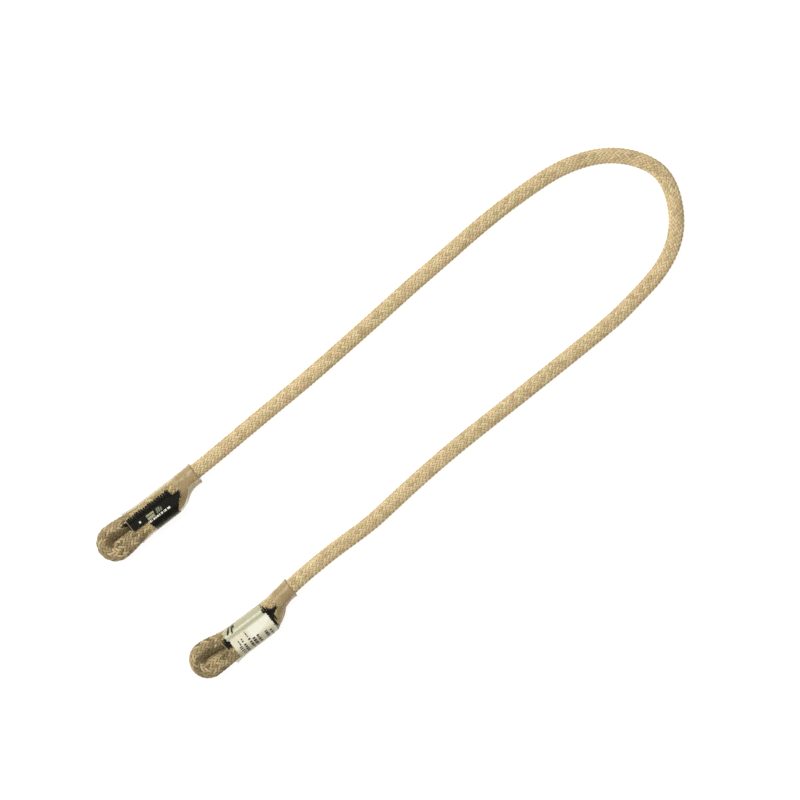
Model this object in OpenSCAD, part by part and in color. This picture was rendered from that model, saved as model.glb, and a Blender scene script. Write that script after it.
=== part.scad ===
// Friction-hitch cord with two sewn eyes, lying in a hairpin on a flat surface.
// A round braided rope doubles back on itself at each end, is stitched there, and wears
// a clear shrink sleeve over the stitches. +X points along the hairpin to its bend, +Y to
// side A, +Z up. The surface it lies on is z = 0.

/* [Rope] */
// Diameter of the free rope
rope_d = 8; // [7:0.1:9.6]
// Wall of the braided sheath round the core
sheath_t = 1.1; // [0.8:0.1:1.6]

/* [Sewn pair] */
// Width of one leg where the two legs are stitched together
sewn_w = 7.2; // [6:0.1:9]
// Height of one leg where the two legs are stitched together
sewn_h = 8.2; // [6.8:0.1:10]
// Tip of the tail, measured from the sleeve's eye edge
tail_tip = 33; // [26:0.5:38]
// Length of the slanted cut across the tail
tail_cut = 8; // [4:0.5:10]

/* [Eye] */
// Reach of the eye beyond the sleeve
eye_len = 20.6; // [17:0.1:26]
// Outer width of the eye
eye_outer_w = 19.2; // [17:0.1:24]
// Width of the rope in the eye
eye_w = 8; // [6:0.1:8.4]
// Height of the rope in the eye
eye_h = 8.2; // [7:0.1:9.5]
// How far inside the sleeve the two legs start to part for the eye
eye_lead = 4; // [0:0.5:6]
// How far eye A leans towards its standing leg
eye_lean_a = -0.4; // [-2:0.1:2]
// How far eye B leans towards its standing leg
eye_lean_b = 1.3; // [-2:0.1:2]

/* [Stitching] */
// Thickness of the sewing thread
thread_t = 0.4; // [0.3:0.05:0.6]
// Width of the zigzag across the pair
bartack_w = 7; // [5:0.5:8]
// First stitch, from the sleeve's eye edge
bartack_start = 1; // [0.5:0.5:4]
// How far the zigzag stops short of the middle of the tail's cut
bartack_margin = 2; // [1:0.5:4]
// Stitch passes in the zigzag
bartack_passes = 24; // [16:2:30]

/* [Sleeve] */
// Length of sleeve A
sleeve_a_len = 41.8; // [41:0.1:52]
// Length of sleeve B
sleeve_b_len = 43.7; // [41:0.1:52]
// How far the free rope leans away from the tail as it leaves sleeve A
mouth_lean_a = 0.2; // [0:0.1:2.5]
// How far the free rope leans away from the tail as it leaves sleeve B
mouth_lean_b = 2; // [0:0.1:2.5]
// Wall of the sleeve's film
film_t = 0.35; // [0.2:0.05:0.5]
// How far the film flares at its eye edge
film_flare = 0.6; // [0:0.1:1]
// Length over which the film narrows past the tail
film_taper = 9; // [6:0.5:10]
// Loose room in sleeve A past the tail
film_room_a = 1.5; // [0.2:0.1:2]
// Loose room in sleeve B past the tail
film_room_b = 0.4; // [0.2:0.1:2]

/* [Labels] */
// Thickness of a label
label_t = 0.15; // [0.1:0.05:0.25]
// Length of the half-wrapped label on end A
label_a_len = 15; // [10:0.5:18]
// Start of label A, from the sleeve's eye edge
label_a_start = 10; // [2:0.5:12]
// Length of the fully wrapped label on end B
label_b_len = 24; // [15:0.5:26]
// Start of label B, from the sleeve's eye edge
label_b_start = 1.5; // [1:0.5:4]

/* [Hidden] */

sheath_colour = "#b7a677";
core_colour = "#ece5d2";
thread_colour = "#141416";
film_colour = [0.86, 0.87, 0.86, 0.4];
label_a_colour = "#1a1a1d";
label_b_colour = "#e6e1cf";

layer_gap = 0.05; // between rope, thread, label and film
core_gap = 0.05; // between sheath and core
pair = sewn_w + 2 * layer_gap; // between the centrelines of the two sewn legs
thread_z = sewn_h / 2 + layer_gap; // underside of the top stitches, from the pair's middle
label_gap = 2 * layer_gap + thread_t; // from the rope to a label's inner face
film_gap = label_gap + label_t + layer_gap; // from the rope to the film's inner face
pair_z = max(sewn_h, rope_d) / 2 + film_gap + film_t; // height of the sewn legs' centrelines
eye_r = (eye_outer_w - eye_w) / 2; // turn of the eye's centreline
eye_x = eye_len - eye_w / 2 - eye_r; // from the sleeve's edge to the middle of that turn
limb_len = eye_x + eye_lead; // length over which the legs part
tail_x = tail_tip - tail_cut / 2; // middle of the tail's cut
bartack_len = tail_x - bartack_margin - bartack_start; // length of the zigzag
bartack_a_shift = 1.2; // stitches of end A sit towards the standing leg

// What differs between the ends, as [sleeve length, mouth's lean, eye's lean, film's room]
fit_a = [sleeve_a_len, mouth_lean_a, eye_lean_a, film_room_a];
fit_b = [sleeve_b_len, mouth_lean_b, eye_lean_b, film_room_b];
lean_start = 26; // where the standing leg starts to lean away from the tail and to round out
lean_past = 6; // how far past the sleeve's mouth that lean ends

// Sections of the rope as [half width, half height]
free_half = [rope_d / 2, rope_d / 2];
sewn_half = [sewn_w / 2, sewn_h / 2];
eye_half = [eye_w / 2, eye_h / 2];

sides = 12; // flats round the rope
stadium_step = 15; // degrees between the points round a sleeve or label

// Route of the rope's centreline, from the mouth of sleeve A to the mouth of sleeve B
neck_a_route = [[-106.9, 38.9], [-99, 38.7], [-91, 38.6], [-83, 38.6]];
leg_a_route = [
  [-60, 38.5], [-36, 38.3], [-12, 38.7], [11, 39.3], [34, 40.1], [58, 40.5], [81, 40.9],
  [104, 40.1], [116, 39.1], [127, 37.6], [138, 34.5], [148, 29.9], [157, 23]
];
bend_route = [[164, 13.8], [167.5, 3], [165.4, -8.2], [161, -16.5], [155.8, -23]];
leg_b_route = [
  [148, -29], [139, -33], [129, -35.4], [118, -36.7], [107, -37.8], [95, -38.1], [72, -37.7],
  [49, -37.1], [26, -36.4], [3, -35.8], [-20, -35.9], [-44, -36.9], [-56, -37.3],
  [-68, -36.7], [-84, -35.8]
];
neck_b_route = [[-92, -35.7], [-100, -35.7], [-107.3, -36]];
yaw_a = -3; // direction of sewn end A, turned from +X
yaw_b = -3.2; // direction of sewn end B, turned from +X

// Last station of each stretch along the whole route
neck_a_last = len(neck_a_route) - 1;
leg_a_last = neck_a_last + len(leg_a_route);
bend_last = leg_a_last + len(bend_route);
leg_b_last = bend_last + len(leg_b_route);
route_last = leg_b_last + len(neck_b_route);
route = concat(neck_a_route, leg_a_route, bend_route, leg_b_route, neck_b_route);

function mix(a, b, t) = a + (b - a) * t;
function smooth(t) = t * t * (3 - 2 * t);
function clamp(t) = min(1, max(0, t));
function unit(v) = v / norm(v);
function heading(angle) = [cos(angle), sin(angle), 0];

// How much of the sewn pair's height a station still has: 1 at a sleeve's mouth, 0 on the legs
function sewn_share(i) =
  smooth(clamp(max(1 - i / neck_a_last, (i - leg_b_last) / (route_last - leg_b_last))));

// Stations of the free route, each as [point, direction, section]
function route_point(i) = [route[i].x, route[i].y, mix(rope_d / 2, pair_z, sewn_share(i))];
function route_heading(i) =
  i == 0 ? heading(yaw_a + atan(standing_slope(sleeve_a_len, fit_a)))
  : i == route_last ? -heading(yaw_b + atan(standing_slope(sleeve_b_len, fit_b)))
  : unit(route_point(i + 1) - route_point(i - 1));
function route_station(i) = [route_point(i), route_heading(i), free_half];
function route_stretch(first, last) = [for (i = [first:last]) route_station(i)];

// Stations of the sewn end in its own frame: x = 0 at the sleeve's eye edge, x runs towards
// the free rope, y towards the standing leg and z = 0 on the legs' centrelines
limb_steps = [1 / 4, 1 / 2, 3 / 4];
turn_steps = [0:30:180];
seam_steps = [0:1 / 6:1];
function lean_share(x, fit) =
  clamp((x - lean_start) / (fit[0] + lean_past - lean_start));
function standing_y(x, fit) = pair / 2 + fit[1] * smooth(lean_share(x, fit));
function standing_slope(x, fit) =
  let (t = lean_share(x, fit))
  6 * t * (1 - t) * fit[1] / (fit[0] + lean_past - lean_start);
function leg_half(x, fit) =
  mix(sewn_half, free_half, smooth(clamp((x - lean_start) / (fit[0] - lean_start))));
function standing_station(x, fit) =
  [[x, standing_y(x, fit), 0], unit([-1, -standing_slope(x, fit), 0]), leg_half(x, fit)];
function tail_station(x) = [[x, -pair / 2, 0], [1, 0, 0], sewn_half];
function limb_y(t) = mix(pair / 2, eye_r, smooth(t));
function limb_slope(t) = 6 * t * (1 - t) * (eye_r - pair / 2) / limb_len;
function limb_station(t, side, fit) = [
  [eye_lead - limb_len * t, side * limb_y(t) + fit[2] * smooth(t), 0],
  unit([-side, limb_slope(t), 0]),
  mix(sewn_half, eye_half, smooth(t))
];
function turn_station(angle, fit) = [
  [-eye_x - eye_r * sin(angle), fit[2] + eye_r * cos(angle), 0],
  heading(180 + angle),
  eye_half
];
function end_stations(fit) = concat(
  [for (t = seam_steps) standing_station(mix(fit[0], eye_lead, t), fit)],
  [for (t = limb_steps) limb_station(t, 1, fit)],
  [for (angle = turn_steps) turn_station(angle, fit)],
  [for (t = limb_steps) limb_station(1 - t, -1, fit)],
  [for (t = [0, 1 / 2, 1]) tail_station(mix(eye_lead, tail_x, t))]
);

// One ring of points round a station. grow widens the section, and slant leans the ring
// along the rope, so that its outer side stands back.
function ring(station, grow, slant) =
  let (side = unit(cross([0, 0, 1], station[1])), up = cross(station[1], side))
  [
    for (k = [0:sides - 1])
      let (
        across = (station[2].x + grow) * cos(360 * k / sides),
        rise = (station[2].y + grow) * sin(360 * k / sides)
      )
      station[0] + across * side + rise * up + slant * across * station[1]
  ];
function rings(stations, grow, end_slant) = [
  for (i = [0:len(stations) - 1])
    each ring(stations[i], grow, i == len(stations) - 1 ? end_slant : 0)
];

// Triangles between two lists of count rings with width points each. A strip of rings is
// closed round when closed is true. flip turns the faces over.
function turned(face, flip) = flip ? [face[2], face[1], face[0]] : face;
function quad(a, b, c, d, flip) = [turned([a, b, c], flip), turned([a, c, d], flip)];
function wall(count, width, from, closed, flip) = [
  for (i = [0:count - 2], k = [0:width - (closed ? 1 : 2)])
    let (here = from + i * width, next = (k + 1) % width)
    each quad(here + k, here + next, here + width + next, here + width + k, flip)
];
function rim(width, outer, inner, closed, flip) = [
  for (k = [0:width - (closed ? 1 : 2)])
    let (next = (k + 1) % width)
    each quad(outer + k, inner + k, inner + next, outer + next, flip)
];
function edge(count, width, outer, inner, k, flip) = [
  for (i = [0:count - 2])
    let (here = i * width + k, next = here + width)
    each quad(outer + here, outer + next, inner + next, inner + here, flip)
];

// A solid rope of stations, such as the core
module rod(stations, grow, end_slant = 0) {
  count = len(stations);
  last = (count - 1) * sides;
  ends = [[for (k = [sides - 1:-1:0]) k], [for (k = [0:sides - 1]) last + k]];
  polyhedron(
    rings(stations, grow, end_slant),
    concat(wall(count, sides, 0, true, false), ends)
  );
}

// A hollow or open skin between an outer and an inner list of rings
module skin(outer, inner, count, width, closed) {
  hole = count * width;
  last = hole - width;
  sides_of_strip = closed ? [] : concat(
    edge(count, width, 0, hole, 0, false),
    edge(count, width, 0, hole, width - 1, true)
  );
  polyhedron(
    concat(outer, inner),
    concat(
      wall(count, width, 0, closed, false),
      wall(count, width, hole, closed, true),
      rim(width, 0, hole, closed, false),
      rim(width, last, hole + last, closed, true),
      sides_of_strip
    )
  );
}

// Sheath and core of one stretch of rope
module sheath(stations, end_slant = 0) {
  color(sheath_colour)
    skin(
      rings(stations, 0, end_slant), rings(stations, -sheath_t, end_slant),
      len(stations), sides, true
    );
}
module core(stations, end_slant = 0) {
  color(core_colour) rod(stations, -sheath_t - core_gap, end_slant);
}

// Puts a sewn end's own frame in its place, with its standing leg on the route's end
module at_end(route_end, yaw, fit) {
  translate([route_end.x, route_end.y, pair_z])
    rotate([0, 0, yaw])
      translate([-fit[0], -standing_y(fit[0], fit), 0]) children();
}
module at_end_a() {
  at_end(route[0], yaw_a, fit_a) children();
}
module at_end_b() {
  at_end(route[route_last], yaw_b, fit_b) children();
}

// Zigzag of thread on one face of the pair, and the same on the other face
function zigzag(i, shift) = [
  bartack_start + bartack_len * i / bartack_passes,
  (i % 2 == 0 ? 1 : -1) * bartack_w / 2 + shift
];
module stitch_pass(from, to) {
  polygon([
    [from.x - thread_t, from.y], [from.x + thread_t, from.y],
    [to.x + thread_t, to.y], [to.x - thread_t, to.y]
  ]);
}
module bartack(shift) {
  color(thread_colour)
    for (z = [thread_z, -thread_z - thread_t])
      translate([0, 0, z])
        linear_extrude(thread_t)
          for (i = [0:bartack_passes - 1])
            stitch_pass(zigzag(i, shift), zigzag(i + 1, shift));
}

// Half rounds of a sleeve's or label's section. The tail's side of it closes up on the
// standing leg past the tail's cut. gap is all round, and spread is sideways alone.
taper_start = tail_tip - tail_cut + 2;
taper_end = taper_start + film_taper;
function taper(x) = clamp((x - taper_start) / film_taper);
function half_round(x, y, half, gap, spread, from) = [
  for (angle = [from:stadium_step:from + 180])
    [x, y + (half.x + gap + spread) * cos(angle), (half.y + gap) * sin(angle)]
];
function tail_y(x, fit) = mix(-pair / 2, standing_y(x, fit) - fit[3], taper(x));
function tail_side(x, fit, gap, spread = 0) =
  half_round(x, tail_y(x, fit), leg_half(x, fit), gap, spread, 90);
function stadium(x, fit, gap, spread = 0) = concat(
  half_round(x, standing_y(x, fit), leg_half(x, fit), gap, spread, -90),
  tail_side(x, fit, gap, spread)
);

// Places where a sleeve or a label has a section: its ends, and the taper between them
taper_x = [for (t = [0:0.25:1]) mix(taper_start, taper_end, t)];
function section_places(from, to) =
  concat([from], [for (x = taper_x) if (x > from && x < to) x], [to]);
module wrap(outer, inner, closed) {
  skin(
    [for (r = outer) each r], [for (r = inner) each r],
    len(outer), len(outer[0]), closed
  );
}

// Label A runs from the pair's middle, round the tail's side and back under it
label_a_edge = -0.8; // where label A starts, towards the tail from the pair's middle
function tail_wrap(x, gap) = concat(
  [[x, label_a_edge, sewn_h / 2 + gap]],
  tail_side(x, fit_a, gap),
  [[x, label_a_edge, -sewn_h / 2 - gap]]
);
module label_wrap_a() {
  places = section_places(label_a_start, label_a_start + label_a_len);
  color(label_a_colour)
    wrap(
      [for (x = places) tail_wrap(x, label_gap + label_t)],
      [for (x = places) tail_wrap(x, label_gap)], false
    );
}

// Label B runs right round the pair
module label_wrap_b() {
  places = section_places(label_b_start, label_b_start + label_b_len);
  color(label_b_colour)
    wrap(
      [for (x = places) stadium(x, fit_b, label_gap + label_t)],
      [for (x = places) stadium(x, fit_b, label_gap)], true
    );
}

// Clear sleeve: flared at the eye, snug on the pair, closed in round the standing leg
flare_len = 2.5;
function film_spread(x) = film_flare * (1 - clamp(x / flare_len));
module sleeve(fit) {
  places = concat([0], section_places(flare_len, fit[0]));
  color(film_colour)
    wrap(
      [for (x = places) stadium(x, fit, film_gap + film_t, film_spread(x))],
      [for (x = places) stadium(x, fit, film_gap, film_spread(x))], true
    );
}

// The rope's stretches along its route
tail_slant = tail_cut / sewn_w;
neck_a = route_stretch(0, neck_a_last);
leg_a = route_stretch(neck_a_last, leg_a_last);
bend = route_stretch(leg_a_last, bend_last);
leg_b = route_stretch(bend_last, leg_b_last);
neck_b = route_stretch(leg_b_last, route_last);

at_end_a() sheath(end_stations(fit_a), tail_slant);  // eye_a_sheath
at_end_a() core(end_stations(fit_a), tail_slant);  // eye_a_core
sheath(neck_a);  // neck_a_sheath
core(neck_a);  // neck_a_core
sheath(leg_a);  // leg_a_sheath
core(leg_a);  // leg_a_core
sheath(bend);  // bend_sheath
core(bend);  // bend_core
sheath(leg_b);  // leg_b_sheath
core(leg_b);  // leg_b_core
sheath(neck_b);  // neck_b_sheath
core(neck_b);  // neck_b_core
at_end_b() sheath(end_stations(fit_b), tail_slant);  // eye_b_sheath
at_end_b() core(end_stations(fit_b), tail_slant);  // eye_b_core
at_end_a() bartack(bartack_a_shift);  // bartack_a
at_end_b() bartack(0);  // bartack_b
at_end_a() label_wrap_a();  // label_a
at_end_b() label_wrap_b();  // label_b
at_end_a() sleeve(fit_a);  // sleeve_a
at_end_b() sleeve(fit_b);  // sleeve_b
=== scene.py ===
"""Friction-hitch cord with two sewn eyes, lying in a hairpin on a plain floor.

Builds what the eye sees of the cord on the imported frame: the braided rope, the stitched
pair at each end with its label and clear sleeve, and a plain studio round them.
"""

import logging
import math
from dataclasses import dataclass, field
from enum import Enum
from typing import Any, Callable

import bpy
import numpy as np
from mathutils import Matrix, Vector


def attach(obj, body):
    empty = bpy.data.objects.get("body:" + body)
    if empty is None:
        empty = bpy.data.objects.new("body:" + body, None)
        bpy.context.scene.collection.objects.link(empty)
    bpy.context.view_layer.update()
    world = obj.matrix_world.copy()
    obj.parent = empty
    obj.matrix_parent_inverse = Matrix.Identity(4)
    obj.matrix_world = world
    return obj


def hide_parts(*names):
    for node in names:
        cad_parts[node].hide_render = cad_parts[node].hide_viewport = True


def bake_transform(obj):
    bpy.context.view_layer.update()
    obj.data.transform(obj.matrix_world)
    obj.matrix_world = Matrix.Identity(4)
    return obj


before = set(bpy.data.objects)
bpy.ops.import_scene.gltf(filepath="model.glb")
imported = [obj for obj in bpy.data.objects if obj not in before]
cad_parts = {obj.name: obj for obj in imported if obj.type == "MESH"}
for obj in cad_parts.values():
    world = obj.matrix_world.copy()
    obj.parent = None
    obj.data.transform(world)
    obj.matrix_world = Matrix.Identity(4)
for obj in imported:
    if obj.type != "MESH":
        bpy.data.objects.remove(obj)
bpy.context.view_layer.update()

LOG = logging.getLogger("hitch_cord")
MM = 0.001  # sizes below are in millimetres, and Blender's in metres
BAKE_MAP = "OFBake"
YARN_MAP = "YarnMap"
TONE = "yarn_tone"
NEAR = 0.02  # mm within which vertices count as one ring or as the middle
LEAST = 0.01  # mm under which a move is left out

Pair = tuple[float, float]
Triple = tuple[float, float, float]
Stops = tuple[tuple[float, str | float], ...]  # a ramp's places and hex colours, or greys
Array = np.ndarray
Object = bpy.types.Object
Material = bpy.types.Material
NodeTree = bpy.types.NodeTree
Socket = bpy.types.NodeSocket


class Side(Enum):
    """The two sides of the hairpin."""

    A = "a"
    B = "b"


# ---------------------------------------------------------------- small tools


def linear(hex_colour: str) -> tuple[float, float, float, float]:
    """Turns an sRGB hex colour to the linear RGBA that shaders take.

    Args:
        hex_colour: A colour such as "#b7a677".

    Returns:
        Linear red, green and blue, and an alpha of 1.
    """
    parts = [int(hex_colour[i : i + 2], 16) / 255 for i in (1, 3, 5)]
    r, g, b = (c / 12.92 if c <= 0.04045 else ((c + 0.055) / 1.055) ** 2.4 for c in parts)
    return (r, g, b, 1.0)


def add_node(
    tree: NodeTree,
    kind: str,
    inputs: dict[Any, Any] | None = None,
    out: str | int = 0,
    stops: Stops = (),
    **settings: Any,
) -> Socket | None:
    """Adds one shader node with its settings, input values and links.

    Args:
        tree: The material's node tree.
        kind: The node's type name after "ShaderNode".
        inputs: Input name or index to its value, or to the socket that feeds it.
        out: Name or index of the output that is wanted.
        stops: The stops, if it is a ramp.
        **settings: The node's own properties.

    Returns:
        That output, or None where the node has no outputs.
    """
    made = tree.nodes.new("ShaderNode" + kind)
    for name, value in settings.items():
        setattr(made, name, value)
    for key, value in (inputs or {}).items():
        if isinstance(value, Socket):
            tree.links.new(value, made.inputs[key])
        else:
            made.inputs[key].default_value = value
    if stops:
        elements = made.color_ramp.elements
        while len(elements) < len(stops):
            elements.new(0.5)
        for element, (place, colour) in zip(elements, stops):
            element.position = place
            grey = not isinstance(colour, str)
            element.color = (colour, colour, colour, 1.0) if grey else linear(colour)
    return made.outputs[out] if made.outputs else None


def smooth(t: Array | float) -> Array | float:
    """Smoothstep of a value held between 0 and 1."""
    t = np.clip(t, 0.0, 1.0)
    return t * t * (3 - 2 * t)


def unit(v: Array) -> Array:
    """Each vector of an array at length 1."""
    return v / np.maximum(np.linalg.norm(v, axis=-1, keepdims=True), 1e-12)


def hashed(*keys: Array | int) -> Array:
    """A repeatable scatter of values from 0 to 1, one for each set of whole numbers."""
    weights = (12.9898, 78.233, 37.719, 94.673)
    total = sum(np.asarray(k, float) * w for k, w in zip(keys, weights))
    return np.mod(np.sin(total) * 43758.5453, 1.0)


def columns(x: Any, y: Any, z: Any = 0.0) -> Array:
    """Points from their coordinates, each an array or one number."""
    return np.stack(np.broadcast_arrays(x, y, z), -1)


def read_columns(s: Array, at: Array, values: Array) -> Array:
    """Values of a line at lengths s, one column at a time."""
    return np.stack([np.interp(s, at, column) for column in values.T], -1)


# ------------------------------------------------------------------ finishes


class Finish:
    """A named surface, which each kind of finish builds with nodes of its own."""

    name: str

    def shader(self, tree: NodeTree) -> Socket:
        """Adds the finish's nodes and returns its shader."""
        raise NotImplementedError

    def material(self) -> Material:
        """Builds the finish's material."""
        made = bpy.data.materials.new(self.name)
        made.use_nodes = True
        made.node_tree.nodes.clear()
        shader = self.shader(made.node_tree)
        add_node(made.node_tree, "OutputMaterial", {"Surface": shader})
        return made


@dataclass(frozen=True)
class BraidFinish(Finish):
    """Round braid of heathered synthetic yarn: matte, with a faint sheen along each yarn."""

    name: str = "polyester-aramid-braid"
    stops: Stops = ((0.0, "#66573a"), (0.3, "#a49370"), (0.62, "#d6c29a"), (1.0, "#f3e4c2"))
    tints: Stops = ((0.38, "#fff2ea"), (0.62, "#f7fae9"))  # a pinker and a greener drift
    tint_mm: float = 4.0
    fleck_mm: float = 1.4  # length of a light or dark fleck along a yarn
    filament_mm: float = 0.48  # a bundle of filaments, drawn coarser than the real 0.02 mm
    contrast: float = 0.64  # how much of the tone's range the flecks take up

    def shader(self, tree: NodeTree) -> Socket:
        """Adds the braid's nodes, with tones that follow each float of yarn."""
        tone = add_node(tree, "Attribute", out="Fac", attribute_name=TONE)
        along = add_node(tree, "UVMap", uv_map=YARN_MAP)
        scale = (1 / self.fleck_mm, 1 / self.filament_mm, 1.0)
        stretched = add_node(tree, "Mapping", {"Scale": scale, "Vector": along})
        noise = {"Scale": 1.0, "Detail": 3.0, "Roughness": 0.6, "Vector": stretched}
        filaments = add_node(tree, "TexNoise", noise)
        centred = {0: filaments, 1: self.contrast, 2: -self.contrast / 2}
        flecks = add_node(tree, "Math", centred, operation="MULTIPLY_ADD")
        factor = add_node(tree, "Math", {0: tone, 1: flecks}, operation="ADD", use_clamp=True)
        colour = add_node(tree, "ValToRGB", {"Fac": factor}, stops=self.stops)
        noise = {"Scale": 1 / self.tint_mm, "Detail": 1.0, "Vector": along}
        drifting = add_node(tree, "TexNoise", noise)
        tint = add_node(tree, "ValToRGB", {"Fac": drifting}, stops=self.tints)
        both = {0: 1.0, 6: colour, 7: tint}
        tinted = add_node(tree, "Mix", both, 2, data_type="RGBA", blend_type="MULTIPLY")
        height = {"Strength": 0.55, "Distance": 0.00012, "Height": filaments}
        skin = {
            "Base Color": tinted,
            "Normal": add_node(tree, "Bump", height),
            "Roughness": 0.78,
            "Sheen Weight": 0.25,
            "Sheen Roughness": 0.5,
            "Sheen Tint": linear("#fff3d6"),
            "Specular IOR Level": 0.35,
        }
        return add_node(tree, "BsdfPrincipled", skin)


@dataclass(frozen=True)
class MottledFinish(Finish):
    """A surface whose colour and height wander together, in spots of a given size."""

    name: str
    stops: Stops
    spot_mm: float
    roughness: float
    specular: float = 0.5
    detail: float = 3.0
    harshness: float = 0.5  # how strong the finest spots are
    bump: Pair | None = (0.25, 0.0002)  # strength, and height in metres
    drag: float = 1.0  # how much longer than wide the spots are, at 45 degrees

    def shader(self, tree: NodeTree) -> Socket:
        """Adds the surface's nodes."""
        place = add_node(tree, "TexCoord", out="Object")
        if self.drag != 1.0:
            turned = {"Rotation": (0.0, 0.0, math.radians(45)), "Scale": (1.0, self.drag, 1.0)}
            place = add_node(tree, "Mapping", {**turned, "Vector": place})
        scale = {"Scale": 1000 / self.spot_mm, "Detail": self.detail}
        noise = {**scale, "Roughness": self.harshness, "Vector": place}
        spots = add_node(tree, "TexNoise", noise)
        colour = add_node(tree, "ValToRGB", {"Fac": spots}, stops=self.stops)
        skin = {"Base Color": colour, "Roughness": self.roughness}
        skin["Specular IOR Level"] = self.specular
        if self.bump:
            height = {"Strength": self.bump[0], "Distance": self.bump[1], "Height": spots}
            skin["Normal"] = add_node(tree, "Bump", height)
        return add_node(tree, "BsdfPrincipled", skin)


@dataclass(frozen=True)
class ThreadFinish(Finish):
    """Bonded black sewing thread: three plies under a thin resin, so slightly glossy."""

    name: str = "bonded-black-thread"
    # Painted light and shade: the plies' crests a little lighter than the grooves between them.
    stops: Stops = ((0.1, "#060606"), (0.9, "#161614"))
    ply_mm: float = 0.9  # one turn of the plies, drawn coarser than the real 0.6 mm
    slant_deg: float = 38.0

    def shader(self, tree: NodeTree) -> Socket:
        """Adds the thread's nodes, with slanting plies along its length, drawn lighter on their
        crests and darker in their grooves as painted highlight and shade.
        """
        along = add_node(tree, "UVMap", uv_map=YARN_MAP)
        scale = (1 / self.ply_mm, 1 / self.ply_mm, 1.0)
        turned = {"Rotation": (0.0, 0.0, math.radians(self.slant_deg)), "Scale": scale}
        slanted = add_node(tree, "Mapping", {**turned, "Vector": along})
        wave = {"Scale": 0.6, "Distortion": 0.6, "Detail": 1.0, "Vector": slanted}
        plies = add_node(tree, "TexWave", wave, "Fac")
        height = {"Strength": 0.5, "Distance": 0.0001, "Height": plies}
        skin = {
            "Base Color": add_node(tree, "ValToRGB", {"Fac": plies}, stops=self.stops),
            "Normal": add_node(tree, "Bump", height),
            "Roughness": 0.5,
            "Specular IOR Level": 0.2,
        }
        return add_node(tree, "BsdfPrincipled", skin)


def share_along(
    tree: NodeTree, end: "SewnEnd", way: Pair, span: Pair, curve: str = "SMOOTHSTEP",
) -> Socket:
    """How far a place is through a span of a sewn end's frame, held between 0 and 1.

    Args:
        tree: The material's node tree.
        end: The sewn end, in whose frame the span lies.
        way: The x and y of the direction in which distance is counted.
        span: The distances that give 0 and 1, in mm.
        curve: How the value goes from 0 to 1.

    Returns:
        The value's socket.
    """
    back = np.array(end.matrix().inverted())
    row = (way[0] * back[0] + way[1] * back[1]) / MM
    place = add_node(tree, "TexCoord", out="Object")
    both = {0: place, 1: tuple(row[:3])}
    distance = add_node(tree, "VectorMath", both, "Value", operation="DOT_PRODUCT")
    values = {"Value": distance, "From Min": span[0] - row[3], "From Max": span[1] - row[3]}
    return add_node(tree, "MapRange", values, interpolation_type=curve)


@dataclass(frozen=True)
class WhiteLabelFinish(Finish):
    """White printed film with a soft grey-green band along one side and a painted highlight: a
    brighter patch where the key's reflection lies on the glossy film.
    """

    end: "SewnEnd"  # its frame places the band and the flat
    name: str = "white-printed-film"
    stops: Stops = ((0.16, "#d0cbb3"), (0.3, "#eae5d3"), (0.66, "#eae5d3"), (0.74, "#bab89d"))
    # Painted highlight: the key's reflection on the film, drawn as a brighter colour inside these
    # edges.
    painted_highlight: str = "#f2efe2"
    across: Pair = (-9.0, 9.0)
    highlight_edges: tuple[tuple[Pair, Pair], ...] = (
        ((1.0, 0.0), (12.8, 14.2)), ((0.0, -1.0), (-2.3, -1.6)), ((-0.3, 1.0), (-8.9, -8.1)),
    )

    def shader(self, tree: NodeTree) -> Socket:
        """Adds the film's nodes."""
        across = share_along(tree, self.end, (0.0, 1.0), self.across)
        colour = add_node(tree, "ValToRGB", {"Fac": across}, stops=self.stops)
        highlight_share, *others = [share_along(tree, self.end, *edge) for edge in self.highlight_edges]
        for step in others:
            highlight_share = add_node(tree, "Math", {0: highlight_share, 1: step}, operation="MULTIPLY")
        both = {0: highlight_share, 6: colour, 7: linear(self.painted_highlight)}
        mixed = add_node(tree, "Mix", both, 2, data_type="RGBA")
        return add_node(tree, "BsdfPrincipled", {"Base Color": mixed, "Roughness": 0.32})


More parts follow.
